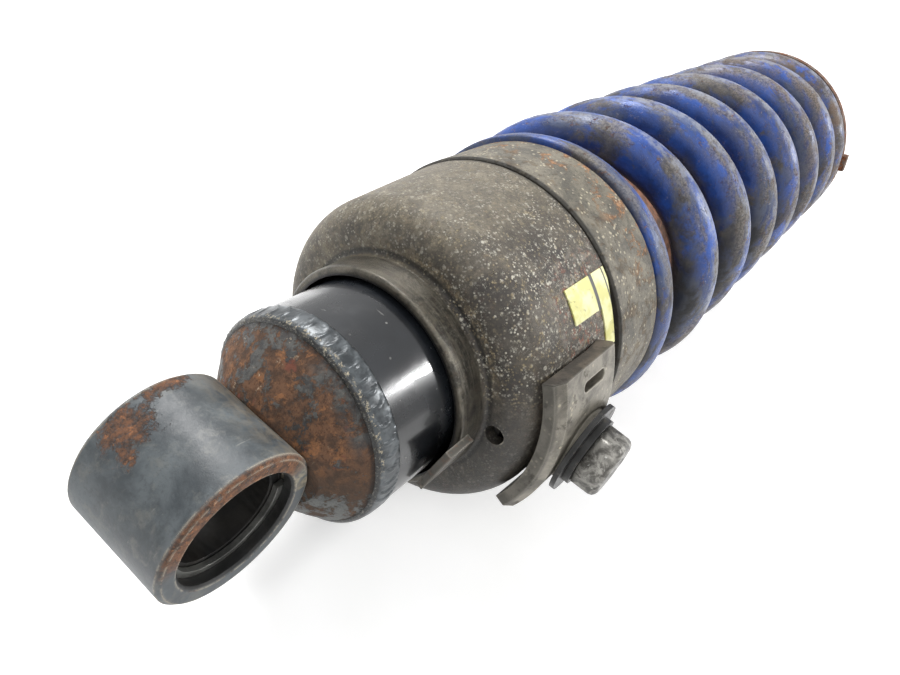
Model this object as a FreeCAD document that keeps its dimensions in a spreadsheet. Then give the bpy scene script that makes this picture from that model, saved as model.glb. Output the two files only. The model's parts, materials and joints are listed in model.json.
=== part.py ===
"""Coil-over rear shock, modelled lying on its side.

Millimetres. The origin is the centre of the lower eye's bore. +X runs along the damper's axis
to the upper eye, Y is the axis of both eyes, and +Z is up.
"""

import FreeCAD, Part
import math
import os

import Sketcher

Vector = FreeCAD.Vector
X_AXIS = Vector(1, 0, 0)
Y_AXIS = Vector(0, 1, 0)
MINUS_Y = Vector(0, -1, 0)
PIERCE = 60.0
SLIVER = 0.1
doc = FreeCAD.newDocument("rear_shock")

# Driving dimensions
DIMENSIONS = {
    "eye_radius": 16.0,
    "eye_bore": 12.0,
    "eye_half": 12.25,
    "bush_bore": 10.0,
    "bush_half": 8.2,
    "clip_width": 1.2,
    "cap_nose": 12.0,
    "cap_radius": 21.8,
    "cap_rim": 23.1,
    "weld_root": 1.9,
    "weld_end": 28.8,
    "weld_crown": 23.5,
    "tube_radius": 23.0,
    "tube_bore": 20.0,
    "tube_end": 236.0,
    "key_width": 4.0,
    "collar_start": 56.5,
    "collar_width": 5.0,
    "collar_radius": 29.0,
    "neck_mouth": 44.6,
    "neck_bore": 24.0,
    "neck_radius": 26.0,
    "shoulder_face": 53.2,
    "shoulder_radius": 37.5,
    "shoulder_round": 8.0,
    "neck_round": 0.9,
    "bell_end": 88.5,
    "bell_radius": 39.0,
    "bell_wall": 3.0,
    "bell_bore": 34.5,
    "hub_start": 79.0,
    "hub_face": 84.0,
    "ramp_start": 84.4,
    "ramp_rise": 4.2,
    "ramp_inner": 25.5,
    "ramp_outer": 33.8,
    "seat_start": 89.1,
    "seat_face": 111.1,
    "seat_radius": 39.6,
    "skirt_radius": 34.1,
    "running_gap": 0.05,
    "body_gap": 0.3,
    "coil_radius": 36.57,
    "wire_radius": 6.5,
    "coil_end": 324.2,
    "rod_radius": 8.0,
    "rod_stub": 5.0,
    "rod_shoulder": 198.0,
    "piston_start": 182.0,
    "piston_width": 14.0,
    "guide_start": 214.0,
    "guide_end": 233.5,
    "seat_flange": 4.8,
    "flange_radius": 42.9,
    "pilot_radius": 29.0,
    "upper_eye_x": 356.0,
    "sleeve_bore": 5.1,
    "sleeve_radius": 8.0,
    "sleeve_half": 14.0,
    "bracket_start": 55.5,
    "bracket_end": 79.2,
    "bracket_radius": 43.0,
    "bolt_x": 70.0,
    "bolt_radius": 5.0,
    "bolt_flats": 14.0,
    "bolt_head": 6.4,
    "pad_radius": 9.2,
    "pad_face": 43.2,
    "float_start": 46.0,
    "float_width": 12.0,
}

# Angles about +X, in degrees from +Y towards +Z
BRACKET_TOP = 180.0 - 31.0
BRACKET_SPAN = 54.0
SLOT_ANGLE = 180.0 - 24.5
WORN_ANGLE = 180.0 - 31.0
EAR_ANGLE = 180.0 + 14.0
DRAIN_ANGLE = 180.0 - 4.6
LABEL_TOP = 180.0 - 52.0
KEY_ANGLE = 90.0
LUG_ANGLE = 180.0 - 16.0
RAMPS = 3
RAMP_CLEAR = 8.0
COIL_START = -90.0
COIL_STOP = 2764.0
COIL_TURNS = ((COIL_START, -1.6), (180.0, 4.8), (260.0, 11.5), (525.0, 36.1), (2490.0, 206.4),
              (COIL_STOP, 212.2))
COIL_GROWTH = ((COIL_START, -2.3), (150.0, -1.7), (330.0, 0.0), (COIL_STOP, 0.0))

sheet = doc.addObject("Spreadsheet::Sheet", "Sizes")
for row, (alias, value) in enumerate(DIMENSIONS.items(), start=1):
    sheet.set(f"A{row}", alias)
    sheet.set(f"B{row}", str(value))
    sheet.setAlias(f"B{row}", alias)
doc.recompute()


class Size:
    """A length in millimetres together with the sheet expression that gives it."""

    def __init__(self, value, text):
        self.value = value
        self.text = text

    def join(self, other, sign, value):
        return Size(value, f"({self.text} {sign} {as_size(other).text})")

    def __add__(self, other):
        return self.join(other, "+", self.value + as_size(other).value)

    def __sub__(self, other):
        return self.join(other, "-", self.value - as_size(other).value)

    def __mul__(self, other):
        return self.join(other, "*", self.value * as_size(other).value)

    def __neg__(self):
        return as_size(0) - self


def as_size(value):
    return value if isinstance(value, Size) else Size(float(value), repr(float(value)))


def d(alias):
    """The driving dimension with that name."""
    return Size(float(sheet.get(alias)), f"Sizes.{alias}")


def bind(thing, **sizes):
    """Sets properties of an object and ties each to its expression."""
    for name, size in sizes.items():
        size = as_size(size)
        setattr(thing, name, size.value)
        thing.setExpression(name, size.text)
    return thing


def outline(body, name, points):
    """A closed sketch of straight lines through the points, each of them placed by two expressions."""
    sketch = body.newObject("Sketcher::SketchObject", name)
    plane = next(part for part in body.Origin.OriginFeatures if part.Role == "XY_Plane")
    sketch.AttachmentSupport = [(plane, "")]
    sketch.MapMode = "FlatFace"
    points = [(as_size(u), as_size(v)) for u, v in points]
    corners = [Vector(u.value, v.value, 0) for u, v in points]
    for here, there in zip(corners, corners[1:] + corners[:1]):
        sketch.addGeometry(Part.LineSegment(here, there))
    count = len(corners)
    for i in range(count):
        sketch.addConstraint(Sketcher.Constraint("Coincident", i, 2, (i + 1) % count, 1))
    for i, (u, v) in enumerate(points):
        for kind, size in (("DistanceX", u), ("DistanceY", v)):
            if size.text == "0.0":
                across = -2 if kind == "DistanceX" else -1
                sketch.addConstraint(Sketcher.Constraint("PointOnObject", i, 1, across))
                continue
            index = sketch.addConstraint(Sketcher.Constraint(kind, -1, 1, i, 1, size.value))
            sketch.renameConstraint(index, f"{kind}{i}")
            sketch.setExpression(f"Constraints.{kind}{i}", size.text)
    return sketch


def turned(label, points, about="H_Axis", angle=360.0, turn_to=None):
    """A piece turned from an outline of (x, radius) points, or (radius, y) points about the V axis."""
    body = doc.addObject("PartDesign::Body", label)
    sketch = outline(body, f"{label}_outline", points)
    feature = body.newObject("PartDesign::Revolution", f"{label}_turned")
    feature.Profile = sketch
    feature.ReferenceAxis = (sketch, [about])
    feature.Angle = angle
    sketch.Visibility = False
    body.Label = label
    if turn_to is not None:
        body.Placement = FreeCAD.Placement(Vector(), FreeCAD.Rotation(X_AXIS, turn_to))
    doc.recompute()
    return body


def rounded(body, picks):
    """Fillets the circular edges of the body named by (x, radius) with the given radius."""
    for x, radius, size in picks:
        edges = []
        for i, edge in enumerate(body.Tip.Shape.Edges, start=1):
            curve = edge.Curve
            if not hasattr(curve, "Radius"):
                continue
            if math.hypot(curve.Center.x - x.value, curve.Radius - radius.value) < 0.01:
                edges.append(f"Edge{i}")
        rounded_from = body.Tip
        fillet = body.newObject("PartDesign::Fillet", f"{body.Label}_round")
        fillet.Base = (rounded_from, edges)
        bind(fillet, Radius=size)
        doc.recompute()
    return body


def cylinder(name, radius, height, start, direction):
    """A cylinder from the start point (sizes) along a unit direction."""
    rod = bind(doc.addObject("Part::Cylinder", name), Radius=radius, Height=height)
    rod.Placement.Rotation = FreeCAD.Rotation(Vector(0, 0, 1), direction)
    place(rod, start)
    return rod


def place(thing, start):
    """Ties the object's position to three sizes."""
    for axis, size in zip("xyz", start):
        size = as_size(size)
        setattr(thing.Placement.Base, axis, size.value)
        thing.setExpression(f"Placement.Base.{axis}", size.text)
    return thing


def radial(angle):
    """The unit direction square to the damper's axis at that angle."""
    return Vector(0, math.cos(math.radians(angle)), math.sin(math.radians(angle)))


def off_axis(x, radius, angle):
    """The sizes of a point at x, at a radius and an angle about the damper's axis."""
    out = radial(angle)
    return x, as_size(radius) * round(out.y, 9), as_size(radius) * round(out.z, 9)


def block(name, length, width, height, start, angle=0.0):
    """A box along X, its width across and its height outwards at the angle, centred on its width."""
    box = bind(doc.addObject("Part::Box", name), Length=length, Width=width, Height=height)
    out = radial(angle)
    turn = FreeCAD.Rotation(X_AXIS, angle - 90.0)
    across = turn.multVec(Y_AXIS)
    base = out * as_size(start[1]).value - across * (as_size(width).value / 2)
    box.Placement = FreeCAD.Placement(Vector(as_size(start[0]).value, base.y, base.z), turn)
    box.setExpression("Placement.Base.x", as_size(start[0]).text)
    return box


def cut(label, base, *tools):
    """The base less the tools."""
    for i, tool in enumerate(tools):
        last = i == len(tools) - 1
        result = doc.addObject("Part::Cut", label if last else f"{label}_less_{i}")
        result.Base = base
        result.Tool = tool
        base = result
    base.Label = label
    doc.recompute()
    return base


def fused(label, base, *others):
    """One solid from several that meet."""
    for i, other in enumerate(others):
        last = i == len(others) - 1
        result = doc.addObject("Part::Fuse", label if last else f"{label}_with_{i}")
        result.Base = base
        result.Tool = other
        result.Refine = True
        base = result
    base.Label = label
    doc.recompute()
    return base


def free(label, shape):
    """A piece whose shape is worked out here from the sheet's sizes."""
    feature = doc.addObject("Part::Feature", label)
    feature.Shape = shape
    feature.Label = label
    return feature


def hexagon(label, flats, start, width, axis_x, inner=None):
    """A hexagonal prism along -Y from the start distance, with an optional bore."""
    prism = doc.addObject("Part::Prism", f"{label}_prism")
    prism.Polygon = 6
    corner = flats * round(1 / math.sqrt(3), 6)
    bind(prism, Circumradius=corner, Height=width)
    prism.Placement.Rotation = FreeCAD.Rotation(Vector(0, 0, 1), MINUS_Y)
    place(prism, (axis_x, -start, 0))
    if inner is None:
        return prism
    bore = cylinder(f"{label}_bore", inner, width, (axis_x, -start, 0), MINUS_Y)
    return cut(label, prism, bore)


def lower_eye_pieces():
    """The eye tube, the plain bush pressed in its bore and the two spring clips that hold it."""
    outer, bore, half = d("eye_radius"), d("eye_bore"), d("eye_half")
    bevel, lip, groove, clip_play = 0.8, 0.6, 0.9, 0.1
    clip_in = d("bush_half") + clip_play
    clip_out = clip_in + d("clip_width") + clip_play
    upper = [
        (outer, -half + bevel), (outer, half - bevel), (outer - bevel, half), (bore + lip, half),
        (bore, half - lip), (bore, clip_out), (bore + groove, clip_out), (bore + groove, clip_in),
        (bore, clip_in), (bore, -clip_in), (bore + groove, -clip_in), (bore + groove, -clip_out),
        (bore, -clip_out), (bore, -half + lip), (bore + lip, -half), (outer - bevel, -half),
    ]
    eye = turned("lower_eye", upper, "V_Axis")
    bush_half = d("bush_half")
    bush = turned("eye_bush", [
        (d("bush_bore"), -bush_half), (d("bush_bore"), bush_half),
        (bore, bush_half), (bore, -bush_half),
    ], "V_Axis")
    clips = []
    clip_inner, clip_outer, clip_arc = bore - 1.2, bore + 0.7, 330.0
    for side, name in ((-1, "eye_clip_near"), (1, "eye_clip_far")):
        near = (clip_in + clip_play * 0.5) * side
        away = (clip_in + clip_play * 0.5 + d("clip_width")) * side
        clips.append(turned(name, [
            (clip_inner, near), (clip_outer, near), (clip_outer, away), (clip_inner, away),
        ], "V_Axis", clip_arc))
    return [eye, bush] + clips


def end_cap_pieces():
    """The domed end cap that saddles the eye, and the weld that joins it to the tube."""
    nose, radius, rim = d("cap_nose"), d("cap_radius"), d("cap_rim")
    bore, root, spigot = d("tube_bore"), d("cap_rim") + d("weld_root"), 8.0
    dome = [
        (nose, 0), (nose + 0.3, radius - 14.8), (nose + 1.2, radius - 11.2), (nose + 2.6, radius - 8.9),
        (nose + 4.3, radius - 6.8), (nose + 6.1, radius - 4.7), (nose + 7.9, radius - 2.8),
        (nose + 9.5, radius - 1.3), (nose + 10.4, radius - 0.5), (rim, radius),
    ]
    blank = turned("end_cap_blank", dome + [(root, bore), (root + spigot, bore), (root + spigot, 0)])
    eye_space = cylinder("eye_space", d("eye_radius"), PIERCE, (0, -PIERCE / 2, 0), Y_AXIS)
    cap = cut("end_cap", blank, eye_space)
    crown = d("weld_crown")
    bead = turned("weld_bead", [
        (root, bore), (rim, radius), (rim + 0.9, crown - 0.5), (rim + 2.3, crown),
        (rim + 3.9, crown), (d("weld_end"), d("tube_radius")),
    ])
    return [cap, bead]


def damper_tube_pieces():
    """The damper tube with its clip groove and key seat, the stop collar and the seat's key."""
    radius, bore, end = d("tube_radius"), d("tube_bore"), d("tube_end")
    root = d("cap_rim") + d("weld_root")
    groove, groove_width, groove_depth, bevel = d("guide_end"), 1.5, 0.9, 0.6
    blank = turned("damper_tube_blank", [
        (root, bore), (d("weld_end"), radius), (end - bevel, radius), (end, radius - bevel),
        (end, bore), (groove + groove_width, bore), (groove + groove_width, bore + groove_depth),
        (groove, bore + groove_depth), (groove, bore),
    ])
    key_start = d("seat_start") + 4.0
    key_length, key_height, key_foot = 17.0, 3.4, 1.0
    key_at = (key_start, radius - key_foot)
    seat = block("key_seat", key_length, d("key_width"), key_height * 2, key_at, KEY_ANGLE)
    tube = cut("damper_tube", blank, seat)
    key = block("seat_key", key_length, d("key_width"), key_height, key_at, KEY_ANGLE)
    collar = turned("stop_collar", [
        (d("collar_start"), radius), (d("collar_start"), d("collar_radius")),
        (d("collar_start") + d("collar_width"), d("collar_radius")),
        (d("collar_start") + d("collar_width"), radius),
    ])
    return [tube, key, collar]


def guide_pieces():
    """The rod guide in the tube's end with its bush, O-ring, seal, clip, dust cap and wiper."""
    bore, rod = d("tube_bore"), d("rod_radius")
    start, end = d("guide_start"), d("guide_end")
    bush_r, seal_r, wiper_r = rod + 1.5, rod + 5.0, rod + 4.0
    ring_x, ring_w, ring_depth = start + 8.0, 3.0, 2.2
    seal_x = end - 6.0
    guide = turned("rod_guide", [
        (start, bush_r), (start, bore), (ring_x, bore), (ring_x, bore - ring_depth),
        (ring_x + ring_w, bore - ring_depth), (ring_x + ring_w, bore), (end, bore),
        (end, seal_r), (seal_x, seal_r), (seal_x, bush_r),
    ])
    o_ring = doc.addObject("Part::Torus", "guide_o_ring")
    bind(o_ring, Radius1=bore - ring_depth * 0.5, Radius2=ring_depth * 0.5)
    o_ring.Placement.Rotation = FreeCAD.Rotation(Vector(0, 0, 1), X_AXIS)
    place(o_ring, (ring_x + ring_w * 0.5, 0, 0))
    gap = d("running_gap")
    bush = turned("guide_bush", [
        (start, rod + gap), (start, bush_r), (seal_x, bush_r), (seal_x, rod + gap),
    ])
    seal = turned("oil_seal", [
        (seal_x, rod + gap), (seal_x, seal_r), (end - 0.5, seal_r), (end - 0.5, rod + 2.0),
        (seal_x + 2.0, rod + 2.0), (seal_x + 2.0, rod + gap),
    ])
    clip = turned("guide_clip", [
        (end + 0.1, bore - 2.0), (end + 0.1, bore + 0.7), (end + 1.3, bore + 0.7),
        (end + 1.3, bore - 2.0),
    ], angle=325.0)
    tube_end = d("tube_end")
    cap = turned("dust_cap", [
        (tube_end, wiper_r), (tube_end, d("tube_radius")), (tube_end + 2.6, d("tube_radius")),
        (tube_end + 4.0, d("tube_radius") - 1.6), (tube_end + 4.0, wiper_r),
    ])
    wiper = turned("dust_wiper", [
        (tube_end, rod + gap), (tube_end, wiper_r), (tube_end + 4.0, wiper_r),
        (tube_end + 4.0, rod + 1.6), (tube_end + 1.6, rod + gap),
    ])
    return [guide, o_ring, bush, seal, clip, cap, wiper]


def floating_piston_pieces():
    """The piston that parts gas from oil, and its ring."""
    bore, start, width = d("tube_bore"), d("float_start"), d("float_width")
    gap = d("running_gap")
    face = bore - gap
    groove_x, groove_w, depth = start + 4.5, 3.0, 2.0
    piston = turned("floating_piston", [
        (start, 0), (start, face), (groove_x, face), (groove_x, face - depth),
        (groove_x + groove_w, face - depth), (groove_x + groove_w, face),
        (start + width, face), (start + width, bore - 6.0), (start + 5.0, bore - 8.0),
        (start + 5.0, 0),
    ])
    ring = turned("floating_piston_ring", [
        (groove_x, face - depth), (groove_x, face), (groove_x + groove_w, face),
        (groove_x + groove_w, face - depth),
    ])
    return [piston, ring]


def adjuster_bell():
    """The turning bell of the preload adjuster: a necked shell with a worn edge and its openings."""
    mouth, neck_bore, neck = d("neck_mouth"), d("neck_bore"), d("neck_radius")
    face, shoulder = d("shoulder_face"), d("shoulder_radius")
    end, radius, wall, bore = d("bell_end"), d("bell_radius"), d("bell_wall"), d("bell_bore")
    cone_start = face + d("shoulder_round")
    blank = turned("bell_blank", [
        (mouth, neck_bore), (mouth, neck), (face, neck), (face, shoulder),
        (cone_start, shoulder), (end, radius), (end, bore), (face + wall, bore),
        (face + wall, neck_bore),
    ])
    rounded(blank, [
        (face, shoulder, d("shoulder_round") - 0.01),
        (face, neck, d("neck_round")),
        (mouth, neck, as_size(0.8)),
    ])
    worn = worn_edge("worn_edge", 0.0)
    bolt_way = cylinder("bell_bolt_way", d("bolt_radius") + d("body_gap"), PIERCE,
                        (d("bolt_x"), -neck_bore, 0), MINUS_Y)
    drain_radius, drain_out = 2.3, 29.2
    drain = cylinder("drain_way", drain_radius, wall * 3, off_axis(face - wall, drain_out, DRAIN_ANGLE),
                     X_AXIS)
    return cut("adjuster_bell", blank, worn, bolt_way, drain)


def worn_edge(name, margin):
    """The shallow bite that wear has left in the bell's end, grown by a margin."""
    depth, radius = 1.9, 39.5
    start = off_axis(d("bell_end") + (radius - depth - margin), d("neck_bore"), WORN_ANGLE)
    return cylinder(name, radius, PIERCE, start, radial(WORN_ANGLE))


def helical_tool(low, high, start, span):
    """A solid that follows the ramps' helix over a span of degrees, from low to high above it."""
    lead = RAMPS * DIMENSIONS["ramp_rise"]
    inner, outer = DIMENSIONS["tube_radius"] - 1.0, DIMENSIONS["skirt_radius"] + 1.0
    face = DIMENSIONS["ramp_start"]
    spine = Part.makeHelix(lead, lead * span / 360.0, (inner + outer) / 2)
    spine.Placement = FreeCAD.Placement(Vector(face, 0, 0), FreeCAD.Rotation(Vector(0, 0, 1), X_AXIS))
    first = spine.Vertexes[0].Point
    out = Vector(0, first.y, first.z).normalize()
    corners = [
        Vector(face + low, 0, 0) + out * inner,
        Vector(face + low, 0, 0) + out * outer,
        Vector(face + high, 0, 0) + out * outer,
        Vector(face + high, 0, 0) + out * inner,
    ]
    profile = Part.makePolygon(corners + corners[:1])
    tool = Part.Wire(spine.Edges).makePipeShell([profile], True, True)
    tool.rotate(Vector(), X_AXIS, start)
    return tool


def ring_solid(inner, outer, start, end):
    """A plain ring about the damper's axis."""
    ring = Part.makeCylinder(outer, end - start, Vector(start, 0, 0), X_AXIS)
    return ring.cut(Part.makeCylinder(inner, end - start, Vector(start, 0, 0), X_AXIS))


def adjuster_hub():
    """The ramped hub pressed in the bell, which turns on the damper tube."""
    bore = DIMENSIONS["tube_radius"] + DIMENSIONS["running_gap"]
    start, face = DIMENSIONS["hub_start"], DIMENSIONS["hub_face"]
    top = DIMENSIONS["ramp_start"] + DIMENSIONS["ramp_rise"]
    spare, overrun = 0.5, 0.5
    ramps = ring_solid(DIMENSIONS["ramp_inner"], DIMENSIONS["ramp_outer"], face - 1.0, top + spare)
    for i in range(RAMPS):
        ramps = ramps.cut(helical_tool(0.0, RAMP_CLEAR, 360.0 / RAMPS * i, 360.0 / RAMPS + overrun))
    return free("adjuster_hub", ring_solid(bore, DIMENSIONS["bell_bore"], start, face).fuse(ramps))


def spring_seat_ring():
    """The sliding spring seat, with ramps that match the hub's and a way for the key."""
    bore = d("tube_radius") + d("running_gap")
    start, face, radius = d("seat_start"), d("seat_face"), d("seat_radius")
    skirt, hub_face = d("skirt_radius"), d("hub_face") + d("body_gap")
    inner, web, bevel, worn_bevel = d("ramp_inner") - d("body_gap"), start + 3.0, 0.5, 1.0
    blank = turned("seat_blank", [
        (hub_face, inner), (hub_face, skirt), (start, skirt), (start, radius - bevel),
        (start + bevel, radius), (face - worn_bevel, radius), (face, radius - worn_bevel),
        (face, bore), (web, bore), (web, inner),
    ])
    gap = DIMENSIONS["body_gap"]
    step_room = 1.5
    tools = []
    for i in range(RAMPS):
        tool = helical_tool(-RAMP_CLEAR, gap, 360.0 / RAMPS * i, 360.0 / RAMPS + step_room)
        tools.append(free(f"seat_ramp_{i}", tool))
    way_width, way_height = d("key_width") + d("body_gap") * 2, 3.2
    way = block("key_way", PIERCE, way_width, way_height, (start - 1.0, d("tube_radius") - 0.2),
                KEY_ANGLE)
    return cut("spring_seat_ring", blank, *tools, way)


def bracket_pieces():
    """The curved bracket on the bell with its slot, bolt, two washers and nut."""
    start, end, radius = d("bracket_start"), d("bracket_end"), d("bracket_radius")
    sole, lift = 6.0, 0.02
    strap = turned("bracket_strap", [
        (start, radius - 4.9), (start, radius - 2.2), (start + 2.4, radius - 0.5),
        (end - 0.8, radius), (end, radius - 0.8), (end, cone_radius(end) + lift),
        (end - sole, radius - 4.0),
    ], angle=BRACKET_SPAN, turn_to=BRACKET_TOP)
    bolt_x, pad_face, pad_width = d("bolt_x"), d("pad_face"), 2.6
    pad = cylinder("bracket_pad", d("pad_radius"), pad_width, (bolt_x, -pad_face + pad_width, 0), MINUS_Y)
    way = cylinder("bracket_bolt_way", d("bolt_radius") + d("body_gap"), PIERCE,
                   (bolt_x, -d("neck_bore"), 0), MINUS_Y)
    slot_width, slot_length, slot_height = as_size(2.6), as_size(6.4), 12.0
    slot_start, slot_foot = bolt_x - 4.0, 36.0
    slot_at = (slot_start, slot_foot)
    slot = [block("bracket_slot", slot_length, slot_width, slot_height, slot_at, SLOT_ANGLE)]
    for i, x in enumerate((slot_start, slot_start + slot_length)):
        slot.append(cylinder(f"bracket_slot_end_{i}", slot_width * 0.5, slot_height,
                             off_axis(x, slot_foot, SLOT_ANGLE), radial(SLOT_ANGLE)))
    bracket = cut("adjuster_bracket", fused("bracket_body", strap, pad), way, *slot)
    wide_width, narrow_width = 1.2, 1.6
    wide = turned_washer("washer_wide", 11.5, wide_width, pad_face)
    narrow = turned_washer("washer_narrow", 8.6, narrow_width, pad_face + wide_width)
    head_start = pad_face + wide_width + narrow_width
    head = hexagon("bolt_head", d("bolt_flats"), head_start, d("bolt_head"), bolt_x)
    shank_end = 27.5
    shank_length = head_start - shank_end
    shank = cylinder("bolt_shank", d("bolt_radius"), shank_length, (bolt_x, -shank_end, 0), MINUS_Y)
    bolt = fused("bracket_bolt", head, shank)
    nut_start, nut_width = as_size(28.2), as_size(5.0)
    nut = hexagon("bracket_nut", d("bolt_flats"), nut_start, nut_width, bolt_x, d("bolt_radius"))
    return [bracket, wide, narrow, bolt, nut]


def turned_washer(label, radius, width, start):
    """A flat washer on the bracket bolt."""
    bore = d("bolt_radius") + d("body_gap")
    disc = cylinder(f"{label}_disc", radius, width, (d("bolt_x"), -start, 0), MINUS_Y)
    hole = cylinder(f"{label}_hole", bore, width, (d("bolt_x"), -start, 0), MINUS_Y)
    return cut(label, disc, hole)


def adjuster_ear():
    """The flat ear at the neck's mouth, with the tool hole through it."""
    plane, thick, length, height, below = 24.3, 1.7, 7.6, 13.7, 0.7
    turn = FreeCAD.Rotation(X_AXIS, EAR_ANGLE)
    plate = bind(doc.addObject("Part::Box", "ear_plate"), Length=length, Width=thick, Height=height)
    x = d("neck_mouth") - length
    base = turn.multVec(Vector(0, plane, below - height))
    plate.Placement = FreeCAD.Placement(Vector(x.value, base.y, base.z), turn)
    plate.setExpression("Placement.Base.x", x.text)
    hole_radius, hole_x, hole_below = 1.7, x + 2.6, -2.1
    start = turn.multVec(Vector(0, plane - thick, hole_below))
    hole = cylinder("ear_hole", hole_radius, thick * 3, (hole_x, start.y, start.z), turn.multVec(Y_AXIS))
    return cut("adjuster_ear", plate, hole)


def index_label():
    """The thin index label on the bell beside the seat: a flag with a strip along the edge."""
    end = d("bell_end") - 0.3
    strip = label_panel("label_strip", end - 5.6, end - 0.3, 26.0)
    flag = label_panel("label_flag", end - 16.5, end - 5.0, 12.0)
    return cut("index_label", fused("label_body", strip, flag), worn_edge("label_edge", 0.3))


def label_panel(name, left, right, span):
    """A thin skin over the bell's taper from left to right, down from the label's top."""
    lift, thick = 0.03, 0.35
    return turned(name, [
        (left, cone_radius(left) + lift), (left, cone_radius(left) + thick),
        (right, cone_radius(right) + thick), (right, cone_radius(right) + lift),
    ], angle=span, turn_to=LABEL_TOP)


def cone_radius(x):
    """The bell's outer radius at x, on its tapered stretch."""
    start = d("shoulder_face") + d("shoulder_round")
    rise = d("bell_radius").value - d("shoulder_radius").value
    run = d("bell_end").value - start.value
    return d("shoulder_radius") + (x - start) * (rise / run)


def between(table, angle):
    """The value at an angle between the rows of a table of (angle, value)."""
    for (first, low), (second, high) in zip(table, table[1:]):
        if angle <= second:
            break
    return low + (high - low) * (angle - first) / (second - first)


def eased(table, angle):
    """The same with the corners at the table's rows taken off."""
    blur = 30.0
    return (between(table, angle - blur) + between(table, angle) + between(table, angle + blur)) / 3


def coil_spring():
    """The coil spring: closed and ground ends, and a near end drawn in a little to fit its seat."""
    radius, wire = DIMENSIONS["coil_radius"], DIMENSIONS["wire_radius"]
    degrees_apart = 20.0
    count = int(round((COIL_STOP - COIL_START) / degrees_apart))
    points = []
    for i in range(count + 1):
        angle = COIL_START + (COIL_STOP - COIL_START) * i / count
        x = DIMENSIONS["seat_face"] + eased(COIL_TURNS, angle)
        points.append(Vector(x, 0, 0) + radial(angle) * (radius + eased(COIL_GROWTH, angle)))
    curve = Part.BSplineCurve()
    curve.interpolate(points)
    spine = Part.Wire([curve.toShape()])
    start = curve.value(curve.FirstParameter)
    heading = curve.tangent(curve.FirstParameter)[0]
    profile = Part.Wire([Part.makeCircle(wire, start, heading)])
    coil = spine.makePipeShell([profile], True, True)
    low = DIMENSIONS["seat_face"] + DIMENSIONS["running_gap"]
    length = DIMENSIONS["coil_end"] - low
    slab = Part.makeCylinder(radius + 2 * wire, length, Vector(low, 0, 0), X_AXIS)
    ground = coil.common(slab)
    return free("coil_spring", max(ground.Solids, key=lambda solid: solid.Volume))


def rod_pieces():
    """The piston rod with its piston, band, shims, nut, top-out ring and bump stop."""
    rod, stub, shoulder = d("rod_radius"), d("rod_stub"), d("rod_shoulder")
    piston_x, piston_w = d("piston_start"), d("piston_width")
    end_x = d("upper_eye_x") - d("eye_radius") - 1.0
    nut_x = piston_x - 10.0
    shaft = turned("piston_rod", [
        (nut_x - 1.5, 0), (nut_x - 1.5, stub), (shoulder, stub), (shoulder, rod),
        (end_x - 1.0, rod), (end_x, rod - 1.0), (end_x, 0),
    ])
    bore, gap = d("tube_bore"), d("running_gap")
    crown, band = bore - 0.4, bore - gap
    blank = turned("piston_blank", [
        (piston_x, stub), (piston_x, crown), (piston_x + 3.0, crown), (piston_x + 3.0, crown - 1.0),
        (piston_x + piston_w - 3.0, crown - 1.0), (piston_x + piston_w - 3.0, crown),
        (piston_x + piston_w, crown), (piston_x + piston_w, stub),
    ])
    port_count, port_radius, port_out = 6, 1.8, 15.5
    ports = []
    for i in range(port_count):
        start = off_axis(piston_x - piston_w * 0.5, port_out, 360.0 / port_count * i)
        ports.append(cylinder(f"piston_port_{i}", port_radius, piston_w * 2, start, X_AXIS))
    piston = cut("piston", blank, *ports)
    piston_band = turned("piston_band", [
        (piston_x + 3.0, crown - 1.0), (piston_x + 3.0, band), (piston_x + piston_w - 3.0, band),
        (piston_x + piston_w - 3.0, crown - 1.0),
    ])
    shims = []
    shim, shim_wide, shim_narrow = 1.0, 17.0, 12.0
    for name, start, first, second in (
        ("compression_shims", piston_x + piston_w, shim_wide, shim_narrow),
        ("rebound_shims", piston_x - shim * 2, shim_narrow, shim_wide),
    ):
        shims.append(turned(name, [
            (start, stub), (start, first), (start + shim, first), (start + shim, second),
            (start + shim * 2, second), (start + shim * 2, stub),
        ]))
    nut_corner, nut_width = 9.8, 8.0
    nut = doc.addObject("Part::Prism", "piston_nut_prism")
    nut.Polygon = 6
    bind(nut, Circumradius=nut_corner, Height=nut_width)
    nut.Placement.Rotation = FreeCAD.Rotation(Vector(0, 0, 1), X_AXIS)
    place(nut, (nut_x, 0, 0))
    nut = cut("piston_nut", nut, cylinder("piston_nut_bore", stub, nut_width, (nut_x, 0, 0), X_AXIS))
    stop_end = d("guide_start") - d("body_gap")
    top_out = turned("top_out_ring", [
        (shoulder, rod), (shoulder, rod + 6.0), (stop_end - 3.0, rod + 6.0), (stop_end, rod + 4.0),
        (stop_end, rod),
    ])
    cup_x = d("coil_end") - 8.2
    bump = turned("bump_stop", [
        (cup_x - 19.0, rod), (cup_x - 19.0, rod + 5.0), (cup_x - 14.0, rod + 8.0),
        (cup_x - 11.0, rod + 6.0), (cup_x - 6.0, rod + 11.0), (cup_x, rod + 11.0), (cup_x, rod),
    ])
    cup = turned("bump_stop_cup", [
        (cup_x, rod), (cup_x, rod + 11.2), (cup_x - 4.0, rod + 11.2), (cup_x - 4.0, rod + 12.7),
        (cup_x + 3.0, rod + 12.7), (cup_x + 3.0, rod),
    ])
    return [shaft, piston, piston_band] + shims + [nut, top_out, bump, cup]


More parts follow.
